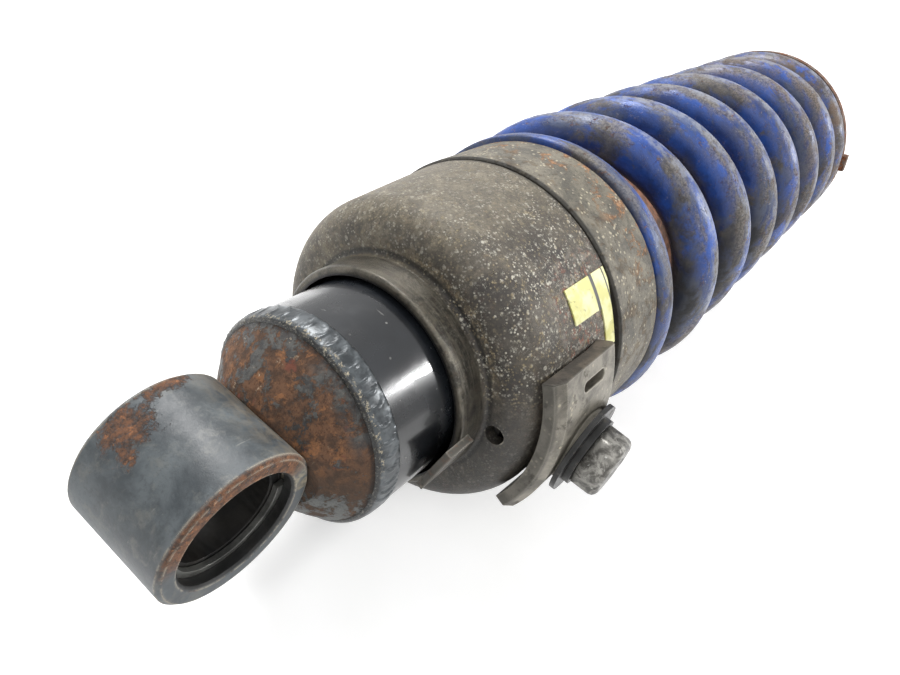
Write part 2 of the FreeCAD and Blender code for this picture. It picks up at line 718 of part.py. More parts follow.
def upper_pieces():
    """The far spring seat, the upper eye screwed on the rod, its rubber bush and its sleeve."""
    rod, pilot, flange = d("rod_radius"), d("pilot_radius"), d("flange_radius")
    face = d("coil_end") + SLIVER
    back = face + d("seat_flange")
    seat_blank = turned("far_seat_blank", [
        (face - 5.2, rod), (face - 5.2, pilot - 1.5), (face - 3.7, pilot), (face, pilot),
        (face, flange), (back - 1.0, flange), (back, flange - 1.0), (back, rod),
    ])
    lug = block("seat_lug", d("seat_flange"), 7.0, 5.0, (face, flange - 3.0), LUG_ANGLE)
    seat = fused("far_spring_seat", seat_blank, lug)
    eye_x, outer, bore, half = d("upper_eye_x"), d("eye_radius"), d("eye_bore"), d("eye_half")
    stem_radius, wall = 14.0, 1.0
    stem = cylinder("upper_stem", stem_radius, eye_x - back, (back, 0, 0), X_AXIS)
    barrel = cylinder("upper_barrel", outer, half * 2, (eye_x, -half, 0), Y_AXIS)
    rod_way = cylinder("upper_rod_way", rod, PIERCE, (eye_x - outer - wall - PIERCE, 0, 0), X_AXIS)
    eye_way = cylinder("upper_eye_way", bore, PIERCE, (eye_x, -PIERCE / 2, 0), Y_AXIS)
    eye = cut("upper_eye", fused("upper_eye_body", stem, barrel), rod_way, eye_way)
    gap = d("running_gap")
    outer_bush = cylinder("upper_bush_disc", bore, half * 2, (eye_x, -half, 0), Y_AXIS)
    bush_way = cylinder("upper_bush_way", d("sleeve_radius") + gap, half * 2, (eye_x, -half, 0), Y_AXIS)
    bush = cut("upper_bush", outer_bush, bush_way)
    reach = d("sleeve_half")
    sleeve_rod = cylinder("sleeve_rod", d("sleeve_radius"), reach * 2, (eye_x, -reach, 0), Y_AXIS)
    sleeve_way = cylinder("sleeve_way", d("sleeve_bore"), reach * 2, (eye_x, -reach, 0), Y_AXIS)
    return [seat, eye, bush, cut("upper_sleeve", sleeve_rod, sleeve_way)]


nodes = lower_eye_pieces()
nodes += end_cap_pieces()
nodes += damper_tube_pieces()
nodes += guide_pieces()
nodes += floating_piston_pieces()
nodes += [adjuster_bell(), adjuster_hub(), spring_seat_ring()]
nodes += bracket_pieces()
nodes += [adjuster_ear(), index_label(), coil_spring()]
nodes += rod_pieces()
nodes += upper_pieces()
doc.recompute()

for thing in doc.Objects:
    if "Invalid" in thing.State or "Error" in thing.State:
        raise RuntimeError(f"{thing.Label} did not recompute: {thing.State}")
for node in nodes:
    if node.Shape.isNull() or not node.Shape.isValid():
        raise RuntimeError(f"{node.Label} has no valid shape")
os.makedirs("parts", exist_ok=True)
for node in nodes:
    node.Shape.exportStep(f"parts/{node.Label}.step")
    box = node.Shape.BoundBox
    print(f"{node.Label}: {len(node.Shape.Solids)} solid(s), {node.Shape.Volume:.0f} mm3,",
          f"x {box.XMin:.1f} to {box.XMax:.1f}, z {box.ZMin:.1f} to {box.ZMax:.1f}")
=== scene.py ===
"""Looks of the rear shock: weathered finishes, the weld, the worn bolt and the spring, on the CAD frame.

The row frame is in metres. Sizes named MM or mm in here are millimetres.
"""

import json
import math

import bpy
from mathutils import Matrix, Vector


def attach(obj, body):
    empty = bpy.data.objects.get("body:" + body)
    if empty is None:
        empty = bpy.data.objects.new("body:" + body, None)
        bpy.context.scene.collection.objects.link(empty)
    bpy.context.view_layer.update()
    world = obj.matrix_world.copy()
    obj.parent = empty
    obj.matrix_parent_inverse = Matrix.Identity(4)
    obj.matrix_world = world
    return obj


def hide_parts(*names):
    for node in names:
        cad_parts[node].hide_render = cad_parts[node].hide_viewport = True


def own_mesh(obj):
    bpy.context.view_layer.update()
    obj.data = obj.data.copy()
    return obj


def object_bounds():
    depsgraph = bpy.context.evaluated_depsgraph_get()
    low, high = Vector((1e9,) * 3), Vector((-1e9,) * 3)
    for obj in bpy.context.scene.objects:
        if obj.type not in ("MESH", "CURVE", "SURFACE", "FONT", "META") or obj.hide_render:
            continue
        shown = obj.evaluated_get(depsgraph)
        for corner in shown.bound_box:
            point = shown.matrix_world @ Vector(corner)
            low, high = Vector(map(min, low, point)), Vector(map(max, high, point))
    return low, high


MM = 0.001
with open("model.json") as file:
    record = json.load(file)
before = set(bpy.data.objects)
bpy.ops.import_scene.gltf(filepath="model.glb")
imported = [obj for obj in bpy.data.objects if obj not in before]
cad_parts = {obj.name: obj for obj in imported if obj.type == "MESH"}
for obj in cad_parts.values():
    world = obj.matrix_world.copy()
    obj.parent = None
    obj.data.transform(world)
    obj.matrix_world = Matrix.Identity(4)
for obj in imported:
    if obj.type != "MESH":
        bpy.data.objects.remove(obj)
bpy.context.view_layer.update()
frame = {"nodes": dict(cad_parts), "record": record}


def tint(red, green, blue):
    """A linear colour from display values of 0 to 255."""
    def straight(level):
        level /= 255.0
        return level / 12.92 if level <= 0.04045 else ((level + 0.055) / 1.055) ** 2.4
    return (straight(red), straight(green), straight(blue), 1.0)


class Finish:
    """A procedural material over the row frame, in millimetres, with its node tree at hand."""

    def __init__(self, name):
        self.material = bpy.data.materials.new(name)
        self.material.use_nodes = True
        self.tree = self.material.node_tree
        self.shader = self.tree.nodes["Principled BSDF"]
        place = self.add("ShaderNodeTexCoord").outputs["Object"]
        scaled = self.add("ShaderNodeVectorMath", operation="SCALE", Vector=place, Scale=1.0 / MM)
        self.mm = scaled.outputs[0]
        parts = self.add("ShaderNodeSeparateXYZ", Vector=self.mm).outputs
        self.x, self.y, self.z = parts
        self.radius = self.length(self.y, self.z)
        self.height_parts = []

    def add(self, kind, **values):
        """A node; names that start with a capital are input sockets, the others are settings."""
        node = self.tree.nodes.new(kind)
        for name, value in values.items():
            if name[0].isupper():
                self.put(node.inputs[name.replace("_", " ")], value)
            else:
                setattr(node, name, value)
        return node

    def put(self, socket, value):
        if isinstance(value, bpy.types.NodeSocket):
            self.tree.links.new(value, socket)
        else:
            socket.default_value = value

    def calc(self, operation, first, second=0.0):
        node = self.add("ShaderNodeMath", operation=operation)
        self.put(node.inputs[0], first)
        self.put(node.inputs[1], second)
        return node.outputs[0]

    def angle(self):
        """Degrees about the damper's axis, from the -Y side upwards, mirrored past 135 and below -45."""
        turn = self.calc("ARCTAN2", self.z, self.calc("MULTIPLY", self.y, -1.0))
        degrees = self.calc("MULTIPLY", turn, 180.0 / math.pi)
        mirrored = self.calc("PINGPONG", self.calc("ADD", degrees, 45.0), 180.0)
        return self.calc("SUBTRACT", mirrored, 45.0)

    def noise(self, size, detail=4.0, rough=0.55, warp=0.0, stretch=(1.0, 1.0, 1.0), seed=0.0):
        """Smooth noise whose lumps are about that many millimetres."""
        offset = (seed * 17.3, seed * 9.1, seed * 23.7)
        place = self.add("ShaderNodeMapping", Vector=self.mm, Location=offset, Scale=stretch).outputs[0]
        node = self.add("ShaderNodeTexNoise", Vector=place, Scale=1.0 / size, Detail=detail,
                        Roughness=rough, Distortion=warp)
        return node.outputs["Fac"]

    def cells(self, size, seed=0.0, stretch=(1.0, 1.0, 1.0)):
        """Distance to scattered points that are about that many millimetres apart."""
        offset = (seed * 13.1, seed * 7.7, seed * 19.9)
        place = self.add("ShaderNodeMapping", Vector=self.mm, Location=offset, Scale=stretch).outputs[0]
        return self.add("ShaderNodeTexVoronoi", Vector=place, Scale=1.0 / size).outputs["Distance"]

    def step(self, value, low, high):
        """A smooth 0 to 1 as the value goes from low to high."""
        if low > high:
            return self.rest(self.step(value, high, low))
        node = self.add("ShaderNodeMapRange", interpolation_type="SMOOTHSTEP")
        self.put(node.inputs["Value"], value)
        self.put(node.inputs["From Min"], low)
        self.put(node.inputs["From Max"], high)
        return node.outputs[0]

    def band(self, value, low, high, soft):
        return self.both(self.step(value, low - soft, low + soft),
                         self.step(value, high + soft, high - soft))

    def both(self, *shares):
        result = shares[0]
        for share in shares[1:]:
            result = self.calc("MULTIPLY", result, share)
        return result

    def either(self, *shares):
        result = shares[0]
        for share in shares[1:]:
            result = self.calc("MAXIMUM", result, share)
        return result

    def rest(self, share):
        """What is left of a share."""
        return self.calc("SUBTRACT", 1.0, share)

    def length(self, first, second):
        return self.calc("SQRT", self.calc("ADD", self.calc("MULTIPLY", first, first),
                                           self.calc("MULTIPLY", second, second)))

    def mix(self, share, under, over):
        node = self.add("ShaderNodeMix", data_type="RGBA")
        self.put(node.inputs["Factor"], share)
        self.put(node.inputs[6], under)
        self.put(node.inputs[7], over)
        return node.outputs[2]

    def level(self, share, under, over):
        """A number that goes from under to over with the share."""
        node = self.add("ShaderNodeMix", data_type="FLOAT")
        self.put(node.inputs["Factor"], share)
        self.put(node.inputs[2], under)
        self.put(node.inputs[3], over)
        return node.outputs[0]

    def rim(self, size, reach=0.07):
        """The share of edge wear: 1 on a convex or concave edge of the piece, 0 on its faces."""
        soft = self.add("ShaderNodeBevel", samples=6, Radius=size * MM).outputs[0]
        plain = self.add("ShaderNodeNewGeometry").outputs["Normal"]
        dot = self.add("ShaderNodeVectorMath", operation="DOT_PRODUCT")
        self.put(dot.inputs[0], soft)
        self.put(dot.inputs[1], plain)
        return self.step(dot.outputs["Value"], 1.0 - reach * 0.1, 1.0 - reach)

    def raised(self, height, amount):
        """Adds a relief: a 0 to 1 pattern that stands that many millimetres high."""
        self.height_parts.append(self.calc("MULTIPLY", height, amount))

    def done(self, colour, rough, metal=0.0, soft_edge=0.0, coat=0.0, specular=0.5):
        relief = self.height_parts[0] if self.height_parts else self.calc("MULTIPLY", self.noise(0.8), 0.01)
        for part in self.height_parts[1:]:
            relief = self.calc("ADD", relief, part)
        bump = self.add("ShaderNodeBump", Strength=1.0, Distance=MM, Height=relief)
        if soft_edge:
            bevel = self.add("ShaderNodeBevel", samples=6, Radius=soft_edge * MM)
            self.put(bump.inputs["Normal"], bevel.outputs[0])
        self.put(self.shader.inputs["Normal"], bump.outputs[0])
        self.put(self.shader.inputs["Base Color"], colour)
        self.put(self.shader.inputs["Roughness"], rough)
        self.put(self.shader.inputs["Metallic"], metal)
        self.put(self.shader.inputs["Coat Weight"], coat)
        self.put(self.shader.inputs["Specular IOR Level"], specular)
        return self.material


def eye_paint():
    m = Finish("eye_paint")
    turn = m.calc("MULTIPLY", m.calc("ARCTAN2", m.z, m.calc("MULTIPLY", m.x, -1.0)), 180.0 / math.pi)
    cloud = m.noise(11.0, 7.0, 0.66, 0.3)
    smudge = m.noise(4.0, 8.0, 0.74, 0.3, seed=2.0)
    fine = m.noise(0.8, 6.0, 0.75, seed=25.0)
    base = m.mix(m.step(cloud, 0.36, 0.64), tint(48, 54, 58), tint(84, 90, 93))
    base = m.mix(m.both(m.step(smudge, 0.5, 0.66), 0.5), base, tint(102, 102, 97))
    base = m.mix(m.both(m.step(fine, 0.5, 0.36), 0.35), base, tint(42, 45, 47))
    lower = m.step(m.x, 60.0, 30.0)
    # A brown-grey film over the upper back of the eye.
    upper_tone = m.both(lower, m.step(turn, 95.0, 140.0),
                  m.step(m.noise(3.4, 7.0, 0.72, 0.4, seed=6.0), 0.38, 0.58))
    base = m.mix(m.both(upper_tone, 0.6), base, tint(112, 103, 88))
    film_edge = m.both(lower, m.step(turn, 138.0, 150.0),
                       m.step(m.noise(1.6, 6.0, 0.75, seed=26.0), 0.45, 0.6))
    base = m.mix(m.both(film_edge, 0.6), base, tint(158, 148, 124))
    dark = m.both(m.band(turn, 72.0, 104.0, 10.0), m.band(m.y, -4.0, 8.0, 3.0), m.step(smudge, 0.6, 0.46))
    base = m.mix(m.both(dark, 0.75), base, tint(38, 44, 48))
    scratch = m.step(m.noise(1.2, 3.0, 0.6, stretch=(0.06, 1.0, 0.5), seed=5.0), 0.68, 0.74)
    base = m.mix(m.both(scratch, 0.3), base, tint(150, 150, 145))

    def near(y, degrees, wide, long):
        """The share of a round patch about a place on the eye, with a ragged border."""
        across = m.calc("DIVIDE", m.calc("SUBTRACT", m.y, y), wide)
        along = m.calc("DIVIDE", m.calc("SUBTRACT", turn, degrees), long)
        ragged = m.calc("MULTIPLY", m.calc("SUBTRACT", m.noise(2.2, 8.0, 0.8, 0.2, seed=9.0), 0.5), 5.0)
        return m.step(m.calc("ADD", m.length(across, along), ragged), 1.25, 0.55)

    patch = m.either(near(8.0, 61.0, 3.6, 15.0), near(10.6, 97.0, 1.6, 15.0), near(4.0, 50.0, 2.2, 6.0))
    patch = m.both(patch, m.calc("ADD", 0.45, m.both(m.step(fine, 0.36, 0.52), 0.55)))
    front = m.step(m.y, -11.3, -11.9)
    front_rust = m.both(front, m.band(turn, 12.0, 150.0, 12.0),
                        m.step(m.noise(3.0, 7.0, 0.72, 0.3, seed=13.0), 0.3, 0.44))
    edge = m.rim(0.7)
    rough_edge = m.both(edge, m.step(m.noise(3.0, 5.0, 0.7, seed=3.0), 0.52, 0.6), 0.7)
    chips = m.step(m.noise(2.6, 6.0, 0.72, 0.5, seed=7.0), 0.7, 0.73)
    rusty = m.either(rough_edge, chips, patch, front_rust)
    rust = m.mix(m.step(m.noise(1.6, 7.0, 0.76, seed=4.0), 0.38, 0.62), tint(62, 48, 40), tint(122, 84, 60))
    orange = m.step(m.noise(1.3, 6.0, 0.78, seed=15.0), 0.54, 0.64)
    rust = m.mix(m.both(orange, 0.75), rust, tint(170, 114, 74))
    colour = m.mix(m.both(rusty, 0.94), base, rust)
    bare = m.both(edge, m.step(m.noise(2.5, 5.0, 0.7, seed=11.0), 0.4, 0.52))
    colour = m.mix(m.both(bare, 0.75), colour, tint(178, 168, 150))
    # Painted shade: the bore's wall near black, with smudges a little lighter.
    bore = m.both(m.step(m.length(m.x, m.z), 12.9, 12.5), m.step(m.calc("ABSOLUTE", m.y), 12.2, 11.9))
    colour = m.mix(bore, colour, m.mix(m.step(smudge, 0.45, 0.7), tint(11, 12, 12), tint(26, 24, 22)))
    m.raised(m.noise(1.8, 5.0, 0.65, seed=1.0), 0.06)
    m.raised(fine, 0.03)
    m.raised(m.both(rusty, m.noise(0.6, 6.0, 0.75, seed=16.0)), 0.28)
    rough = m.level(rusty, m.level(m.step(cloud, 0.35, 0.65), 0.42, 0.6), 0.92)
    return m.done(colour, rough, soft_edge=0.25, specular=0.45)


def rusty_cap():
    m = Finish("rusty_cap")
    angle = m.angle()
    fine = m.noise(0.8, 7.0, 0.78, seed=16.0)
    patch = m.noise(6.0, 9.0, 0.76, 0.2, seed=3.0)
    left = m.step(angle, 70.0, 105.0)
    low = m.step(angle, 6.0, -16.0)
    mottle = m.both(m.calc("SUBTRACT", fine, 0.5), 0.16)
    bias = m.calc("ADD", m.both(left, 0.04), m.both(low, 0.1))
    share = m.calc("SUBTRACT", m.calc("ADD", patch, mottle), bias)
    painted = m.step(share, 0.46, 0.4)
    by_weld = m.both(m.step(m.radius, 18.6, 20.4), m.band(angle, 30.0, 80.0, 8.0),
                     m.step(m.noise(3.4, 7.0, 0.74, 0.3, seed=8.0), 0.56, 0.44))
    painted = m.either(painted, by_weld)
    tone = m.step(m.noise(3.0, 8.0, 0.76, 0.2, seed=6.0), 0.4, 0.6)
    rust = m.mix(tone, tint(74, 58, 48), tint(112, 82, 62))
    orange = m.step(m.noise(4.6, 8.0, 0.76, 0.3, seed=14.0), 0.52, 0.62)
    rust = m.mix(m.both(orange, 0.65), rust, tint(156, 108, 72))
    rust = m.mix(m.both(m.step(fine, 0.5, 0.36), 0.75), rust, tint(62, 44, 34))
    red = m.step(m.noise(5.0, 7.0, 0.7, 0.3, seed=17.0), 0.6, 0.66)
    rust = m.mix(m.both(red, 0.6), rust, tint(128, 74, 60))
    rust = m.mix(m.both(m.step(angle, 34.0, 10.0), 0.72), rust, tint(66, 54, 45))
    paint_tone = m.step(m.noise(2.2, 7.0, 0.74, seed=9.0), 0.4, 0.62)
    paint = m.mix(paint_tone, tint(42, 46, 48), tint(84, 86, 84))
    paint = m.mix(m.both(low, 0.5), paint, tint(96, 100, 98))
    colour = m.mix(m.both(painted, 0.9), rust, paint)
    more_left = m.calc("ADD", 0.2, m.both(left, 0.6))
    light = m.both(m.step(m.noise(1.6, 7.0, 0.78, seed=19.0), 0.6, 0.7), more_left)
    colour = m.mix(light, colour, tint(204, 186, 160))
    crack = m.step(m.noise(3.2, 7.0, 0.75, 1.4, seed=21.0), 0.31, 0.33)
    colour = m.mix(m.rest(crack), colour, tint(20, 17, 15))
    root = m.step(m.radius, 21.1, 21.6)
    colour = m.mix(m.both(root, m.step(fine, 0.36, 0.5), 0.8), colour, tint(28, 28, 28))
    m.raised(painted, 0.1)
    m.raised(fine, 0.2)
    m.raised(crack, 0.22)
    rough = m.level(painted, 0.94, 0.5)
    return m.done(colour, rough, soft_edge=0.25, specular=0.35)


def weld_metal():
    m = Finish("weld_metal")
    angle = m.angle()
    tone = m.noise(2.4, 6.0, 0.65, seed=4.0)
    colour = m.mix(m.step(tone, 0.36, 0.64), tint(46, 50, 53), tint(80, 85, 88))
    crumbs = m.step(m.noise(0.7, 6.0, 0.75, seed=6.0), 0.52, 0.62)
    root = m.both(m.step(m.x, 24.9, 24.0), m.step(angle, 8.0, 24.0))
    colour = m.mix(m.both(root, crumbs), colour, tint(178, 168, 146))
    seam = m.either(m.step(m.x, 23.75, 23.45), m.step(m.x, 28.45, 28.6))
    dust = m.mix(m.step(m.noise(0.5, 6.0, 0.8, seed=8.0), 0.54, 0.64), tint(24, 24, 24), tint(150, 146, 134))
    colour = m.mix(m.both(seam, 0.85), colour, dust)
    m.raised(m.noise(0.5, 4.0, 0.65, seed=5.0), 0.02)
    m.raised(m.both(crumbs, root), 0.05)
    return m.done(colour, m.level(m.both(crumbs, root), 0.33, 0.8), metal=0.25)


def tube_black():
    m = Finish("tube_black")
    cloud = m.noise(18.0, 4.0, 0.5, seed=1.0)
    colour = m.mix(m.step(cloud, 0.35, 0.65), tint(17, 19, 22), tint(30, 33, 37))
    fleck = m.step(m.cells(3.4, seed=3.0), 0.1, 0.06)
    nick = m.both(fleck, m.step(m.noise(9.0, 2.0, seed=5.0), 0.5, 0.6))
    line = m.step(m.noise(0.7, 2.0, 0.5, stretch=(0.5, 0.05, 0.9), seed=8.0), 0.71, 0.75)
    colour = m.mix(m.either(m.both(nick, 0.7), m.both(line, 0.3)), colour, tint(140, 140, 136))
    inner = m.step(m.x, 107.0, 109.0)
    tone = m.step(m.noise(5.0, 7.0, 0.7, 0.4, seed=11.0), 0.4, 0.6)
    rust = m.mix(tone, tint(84, 62, 50), tint(142, 100, 76))
    colour = m.mix(inner, colour, rust)
    m.raised(m.noise(5.0, 2.0, 0.4, seed=2.0), 0.012)
    m.raised(m.both(m.noise(1.2, 6.0, 0.7, seed=12.0), inner), 0.12)
    rough = m.level(inner, m.level(m.step(m.noise(11.0, 5.0, 0.6, seed=7.0), 0.4, 0.62), 0.2, 0.3), 0.85)
    return m.done(colour, rough, coat=m.level(inner, 0.25, 0.0))


def bell_alloy():
    m = Finish("bell_alloy")
    angle = m.angle()
    cloud = m.noise(10.0, 8.0, 0.68, 0.3, seed=1.0)
    grime = m.noise(3.6, 8.0, 0.76, 0.4, seed=2.0)
    fine = m.noise(0.7, 7.0, 0.78, seed=3.0)
    top = m.step(angle, 66.0, 92.0)
    low = m.step(m.calc("ADD", angle, m.both(grime, 30.0)), 44.0, 8.0)
    colour = m.mix(m.step(cloud, 0.36, 0.64), tint(50, 46, 42), tint(84, 78, 69))
    # Lighter on the top: partly a dust film, partly a painted sheen along the top.
    upper_tone = m.mix(m.step(grime, 0.4, 0.62), tint(94, 87, 72), tint(128, 119, 99))
    colour = m.mix(m.both(top, 0.6), colour, upper_tone)
    colour = m.mix(m.both(m.step(grime, 0.52, 0.66), 0.45), colour, tint(122, 114, 98))
    colour = m.mix(m.both(m.step(fine, 0.52, 0.36), 0.6), colour, tint(38, 36, 33))
    # Painted shade: the lower side of the bell darkened.
    colour = m.mix(m.both(low, 0.7), colour, tint(42, 41, 38))
    neck = m.both(m.step(m.x, 52.4, 51.6), m.step(m.radius, 27.6, 26.6))
    drawn = m.noise(0.8, 4.0, 0.6, stretch=(1.0, 0.12, 0.12), seed=24.0)
    neck_cloud = m.step(m.noise(3.0, 7.0, 0.72, seed=4.0), 0.38, 0.62)
    neck_tone = m.mix(neck_cloud, tint(48, 46, 42), tint(82, 78, 69))
    neck_tone = m.mix(m.both(m.step(drawn, 0.46, 0.6), 0.35), neck_tone, tint(118, 113, 101))
    colour = m.mix(m.both(neck, 0.9), colour, neck_tone)
    # Painted shade: a dark line along the crease between the neck and the shoulder.
    crease = m.both(m.band(m.radius, 26.2, 27.6, 0.35), m.step(m.x, 51.8, 52.4))
    colour = m.mix(m.both(crease, 0.85), colour, tint(26, 25, 23))
    tan_edge = m.both(m.band(m.radius, 28.0, 29.6, 0.5), m.step(m.x, 51.0, 52.6),
                      m.band(angle, 30.0, 95.0, 12.0),
                      m.step(m.noise(1.2, 7.0, 0.8, seed=28.0), 0.5, 0.58))
    colour = m.mix(m.both(tan_edge, 0.7), colour, tint(166, 148, 116))
    # Painted shade: the shoulder beside the crease darkened, in broken patches.
    shoulder = m.both(m.band(m.radius, 28.0, 34.0, 2.0), m.step(m.x, 58.0, 54.0),
                      m.step(m.noise(7.0, 7.0, 0.72, 0.3, seed=31.0), 0.42, 0.56))
    colour = m.mix(m.both(shoulder, 0.6), colour, tint(38, 35, 32))
    face = m.step(angle, 16.0, 34.0)
    wide = m.step(m.noise(8.0, 7.0, 0.72, seed=6.0), 0.4, 0.56)
    some = m.step(m.noise(1.6, 6.0, 0.75, seed=8.0), 0.44, 0.56)
    speck_a = m.both(m.step(m.cells(1.7, seed=1.0), 0.36, 0.18), some)
    speck_b = m.both(m.step(m.cells(0.75, seed=2.0), 0.4, 0.2),
                     m.step(m.noise(2.0, 6.0, 0.75, seed=9.0), 0.42, 0.54))
    crust = m.step(m.noise(0.9, 8.0, 0.85, seed=12.0), 0.54, 0.62)
    specks = m.either(m.both(speck_a, 0.9), speck_b, m.both(crust, wide))
    dusty = m.both(specks, m.calc("ADD", 0.12, m.both(face, 0.8)), m.calc("ADD", 0.35, m.both(wide, 0.65)),
                   m.rest(m.both(neck, 0.88)), m.rest(m.both(top, 0.5)))
    dust_tone = m.step(m.noise(2.4, 5.0, seed=29.0), 0.42, 0.56)
    pale_dust = m.mix(dust_tone, tint(160, 146, 116), tint(212, 208, 194))
    colour = m.mix(dusty, colour, pale_dust)
    by_label = m.both(m.band(angle, 10.0, 58.0, 10.0), m.step(m.x, 62.0, 74.0))
    pale = m.both(m.step(m.noise(3.0, 8.0, 0.78, 0.3, seed=18.0), 0.5, 0.6), by_label)
    colour = m.mix(m.both(pale, 0.74), colour, tint(170, 164, 152))
    red = m.both(m.step(m.noise(1.6, 8.0, 0.78, 0.3, seed=15.0), 0.54, 0.6), m.calc("ADD", 0.05, by_label))
    colour = m.mix(m.both(red, 0.8), colour, tint(136, 80, 58))
    worn = m.both(m.rim(0.6), m.step(m.noise(3.0, 5.0, 0.7, seed=20.0), 0.5, 0.62), m.step(m.x, 84.0, 80.0))
    colour = m.mix(m.both(worn, 0.55), colour, tint(168, 162, 146))
    lip = m.step(m.x, 87.3, 88.3)
    colour = m.mix(m.both(lip, m.step(grime, 0.4, 0.55), 0.85), colour, tint(30, 28, 24))
    # Painted shade: the inside of the neck near black.
    inner = m.step(m.radius, 25.0, 24.2)
    colour = m.mix(inner, colour, tint(14, 13, 13))
    m.raised(fine, 0.12)
    m.raised(m.both(m.noise(3.5, 6.0, 0.68, seed=23.0), m.rest(neck)), 0.2)
    m.raised(dusty, 0.1)
    rough = m.level(dusty, m.level(neck, m.level(low, 0.55, 0.48), 0.34), 0.92)
    return m.done(colour, rough, metal=m.level(neck, 0.15, 0.55), soft_edge=0.2)


def seat_alloy():
    m = Finish("seat_alloy")
    angle = m.angle()
    cloud = m.noise(8.0, 7.0, 0.68, 0.4, seed=1.0)
    fine = m.noise(0.9, 6.0, 0.75, seed=2.0)
    colour = m.mix(m.step(cloud, 0.36, 0.64), tint(76, 73, 65), tint(118, 112, 98))
    colour = m.mix(m.both(m.step(fine, 0.5, 0.36), 0.6), colour, tint(50, 47, 42))
    rust = m.step(m.noise(4.5, 8.0, 0.75, 0.4, seed=3.0), 0.52, 0.6)
    upper = m.calc("ADD", 0.12, m.both(m.step(angle, 30.0, 55.0), m.step(m.x, 97.0, 103.0), 0.8))
    rusty = m.mix(m.step(m.noise(1.2, 6.0, 0.7, seed=6.0), 0.42, 0.6), tint(112, 80, 56), tint(170, 128, 92))
    colour = m.mix(m.both(rust, upper), colour, rusty)
    specks = m.both(m.step(m.cells(1.3, seed=4.0), 0.34, 0.2), m.step(m.noise(3.0, 4.0, seed=5.0), 0.46, 0.55))
    colour = m.mix(m.both(specks, 0.6), colour, tint(194, 184, 160))
    low = m.step(angle, 34.0, 0.0)
    colour = m.mix(m.both(low, 0.35), colour, tint(96, 90, 80))
    edge = m.both(m.rim(0.6), m.step(m.noise(2.4, 5.0, 0.7, seed=8.0), 0.42, 0.54), m.step(m.x, 100.0, 104.0))
    colour = m.mix(m.both(edge, 0.7), colour, tint(178, 138, 100))
    lip = m.step(m.x, 90.4, 89.4)
    colour = m.mix(m.both(lip, 0.85), colour, tint(30, 28, 24))
    # Painted shade: the inside of the skirt near black.
    skirt = m.step(m.radius, 35.5, 34.5)
    colour = m.mix(skirt, colour, tint(16, 15, 14))
    m.raised(m.noise(0.9, 7.0, 0.75, seed=9.0), 0.15)
    m.raised(rust, 0.08)
    return m.done(colour, m.level(rust, 0.6, 0.88), metal=0.12, soft_edge=0.5)


def spring_blue():
    m = Finish("spring_blue")
    along = (1.0, 0.32, 0.32)
    outer = m.step(m.radius, 38.0, 42.4)
    inner = m.step(m.radius, 36.5, 31.5)
    angle = m.angle()
    low = m.step(angle, 52.0, 8.0)
    fine = m.noise(0.8, 7.0, 0.78, seed=4.0)
    tone = m.noise(12.0, 6.0, 0.66, stretch=along, seed=1.0)
    colour = m.mix(m.step(tone, 0.38, 0.62), tint(24, 54, 118), tint(42, 92, 184))
    haze = m.noise(7.0, 6.0, 0.64, 0.3, stretch=along, seed=3.0)
    navy = m.step(haze, 0.46, 0.6)
    dull = m.mix(m.step(haze, 0.5, 0.66), tint(34, 44, 66), tint(88, 96, 112))
    colour = m.mix(m.both(navy, 0.75), colour, dull)
    smear = m.noise(6.0, 7.0, 0.68, 0.3, stretch=along, seed=5.0)
    dirty = m.step(m.calc("ADD", smear, m.both(low, 0.05)), 0.5, 0.6)
    dirt_tone = m.step(m.noise(2.6, 7.0, 0.72, stretch=along, seed=6.0), 0.38, 0.64)
    dirt = m.mix(dirt_tone, tint(54, 51, 46), tint(104, 98, 86))
    colour = m.mix(m.both(dirty, 0.85), colour, dirt)
    crest = m.both(outer, m.step(m.noise(6.0, 7.0, 0.68, 0.2, stretch=along, seed=7.0), 0.48, 0.58))
    grain = m.step(fine, 0.4, 0.6)
    colour = m.mix(m.both(crest, 0.8), colour, m.mix(grain, tint(70, 64, 58), tint(128, 122, 114)))
    colour = m.mix(m.both(m.step(fine, 0.48, 0.34), 0.3), colour, tint(26, 28, 34))
    rust = m.both(m.step(m.noise(2.0, 8.0, 0.8, 0.3, seed=9.0), 0.58, 0.63),
                  m.calc("ADD", 0.3, m.both(outer, 0.6)))
    colour = m.mix(m.both(rust, 0.9), colour, m.mix(grain, tint(74, 50, 40), tint(138, 86, 58)))
    far = m.step(m.x, 190.0, 290.0)
    worn = m.both(far, m.step(m.noise(7.0, 8.0, 0.76, 0.3, stretch=along, seed=13.0), 0.44, 0.56))
    colour = m.mix(m.both(worn, m.calc("ADD", 0.3, m.both(outer, 0.45))), colour,
                   m.mix(grain, tint(66, 58, 50), tint(118, 102, 88)))
    last = m.both(m.step(m.x, 308.0, 316.0), m.step(m.noise(5.0, 6.0, 0.7, seed=14.0), 0.42, 0.56))
    last_tone = m.mix(m.step(smear, 0.42, 0.58), tint(54, 48, 44), tint(100, 82, 68))
    colour = m.mix(m.both(last, 0.85), colour, last_tone)
    pale = m.both(m.step(m.noise(1.3, 8.0, 0.82, seed=15.0), 0.58, 0.66),
                  m.calc("ADD", 0.15, m.both(outer, 0.55)))
    colour = m.mix(pale, colour, tint(158, 164, 178))
    # Painted highlight: a broken pale line along the outermost crest of the wire.
    line = m.both(m.step(m.radius, 42.2, 42.8), m.step(m.noise(4.0, 6.0, 0.7, seed=18.0), 0.44, 0.58))
    colour = m.mix(m.both(line, 0.5), colour, tint(146, 150, 160))
    shade = m.both(m.step(m.radius, 42.2, 38.4), m.either(low, m.either(inner, 0.35)))
    colour = m.mix(m.both(shade, 0.88), colour, tint(19, 20, 23))
    m.raised(fine, 0.08)
    m.raised(m.noise(1.6, 6.0, 0.72, stretch=along, seed=17.0), 0.14)
    m.raised(m.both(rust, fine), 0.2)
    rough = m.level(m.either(dirty, crest), 0.38, 0.72)
    return m.done(colour, rough)


